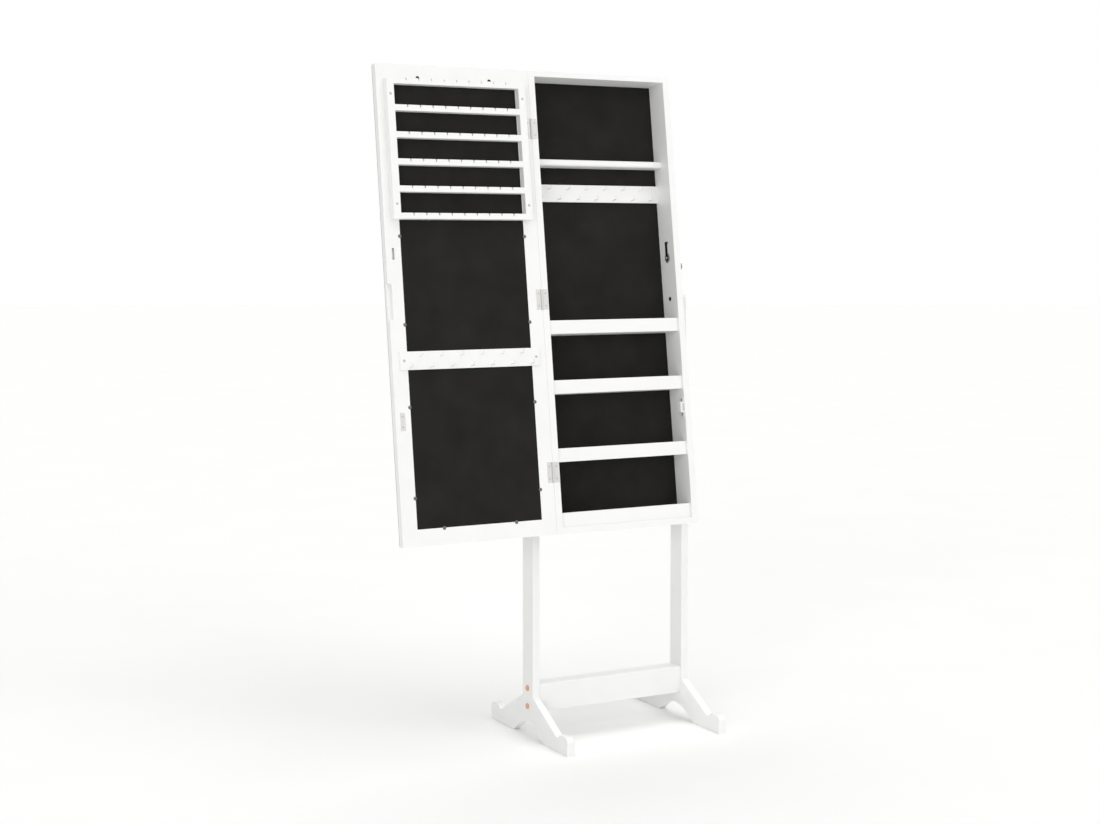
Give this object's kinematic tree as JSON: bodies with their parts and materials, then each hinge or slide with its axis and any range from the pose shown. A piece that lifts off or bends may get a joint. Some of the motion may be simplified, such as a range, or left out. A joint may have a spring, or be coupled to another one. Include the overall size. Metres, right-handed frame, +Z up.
{
  "type": "jewelry mirror cabinet",
  "caption": "Standing white jewelry cabinet on a tilting two-post stand: shallow case with trays and hooks behind a full-length mirror door with an earring rack.",
  "frame": {"origin": "on the floor, in the middle of the object's box at rest; the posts' centre plane is Y = 0", "axes": "+Z up, +X to the right seen from the front, +Y to the back; the front edge of the case and the inner side of the open door face -Y"},
  "size_m": [0.772, 0.378, 1.5205],
  "materials": {
    "white_lacquer": "white satin lacquer on fibreboard",
    "back_hardboard": "white painted hardboard",
    "black_velvet": "flocked black felt",
    "mirror_glass": "silvered float glass",
    "hook_plastic": "moulded white plastic",
    "copper_bolts": "copper-coloured plating",
    "zinc_steel": "zinc plating",
    "nickel_steel": "satin nickel plating",
    "black_steel": "black oxide",
    "catch_plastic": "moulded white plastic",
    "ferrite": "sintered, dark grey",
    "nylon": "natural nylon",
    "beech": "bare fluted dowel"
  },
  "bodies": {
    "stand": {"left_leg": "white_lacquer", "right_leg": "white_lacquer", "stretcher": "white_lacquer", "stretcher_bolts": "copper_bolts", "stretcher_barrel_nuts": "zinc_steel", "pivot_washers": "nylon"},
    "case": {"pivot_bolts": "black_steel", "pivot_inserts": "black_steel", "lock_cylinder": "nickel_steel", "lock_nut": "nickel_steel", "catch_body": "catch_plastic", "catch_magnet": "ferrite", "left_side": "white_lacquer", "right_side": "white_lacquer", "top_panel": "white_lacquer", "bottom_panel": "white_lacquer", "carcass_dowels": "beech", "back_board": "back_hardboard", "felt_lining": "black_velvet", "upper_shelf": "white_lacquer", "upper_tray_floor": "white_lacquer", "upper_tray_rail": "white_lacquer", "middle_tray_floor": "white_lacquer", "middle_tray_rail": "white_lacquer", "lower_tray_floor": "white_lacquer", "lower_tray_rail": "white_lacquer", "bottom_rail": "white_lacquer", "necklace_bar": "white_lacquer", "necklace_hooks": "hook_plastic", "hinge_case_leaves": "nickel_steel", "hinge_pins": "nickel_steel", "case_screws": "zinc_steel"},
    "lock": {"lock_plug": "nickel_steel", "lock_cam": "black_steel", "lock_cam_screw": "zinc_steel", "key_blade": "nickel_steel"},
    "key": {"key_bow": "nickel_steel"},
    "door": {"rack_left_stile": "white_lacquer", "rack_right_stile": "white_lacquer", "rack_bar_1": "white_lacquer", "rack_bar_2": "white_lacquer", "rack_bar_3": "white_lacquer", "rack_bar_4": "white_lacquer", "rack_bar_5": "white_lacquer", "rack_bar_6": "white_lacquer", "rack_screws": "zinc_steel", "door_hook_bar": "white_lacquer", "door_hooks": "hook_plastic", "door_bar_screws": "zinc_steel", "door_lock_stile": "white_lacquer", "door_hinge_stile": "white_lacquer", "door_bottom_rail": "white_lacquer", "door_top_rail": "white_lacquer", "door_felt_panel": "black_velvet", "panel_screws": "black_steel", "mirror": "mirror_glass", "lock_strike": "nickel_steel", "catch_strike": "nickel_steel", "hinge_door_leaves": "nickel_steel", "door_screws": "zinc_steel"}
  },
  "joints": [
    {"name": "cabinet_tilt", "type": "hinge", "parent": "stand", "child": "case", "pos_m": [-0.012, 0, 0.999], "axis": [-1, 0, 0], "range_deg": [-5.8, 7.2]},
    {"name": "door_swing", "type": "hinge", "parent": "case", "child": "door", "pos_m": [-0.012, -0.10386, 0.4803], "axis": [0, 0.1357, 0.9907], "range_deg": [0, 180]},
    {"name": "lock_turn", "type": "hinge", "parent": "case", "child": "lock", "pos_m": [-0.012, 0.01316, 1.0951], "axis": [1, 0, 0], "range_deg": [0, 90]},
    {"name": "key_fold", "type": "hinge", "parent": "lock", "child": "key", "pos_m": [0.379, 0.01316, 1.0951], "axis": [0, -0.9907, 0.1357], "range_deg": [0, 90]}
  ]
}
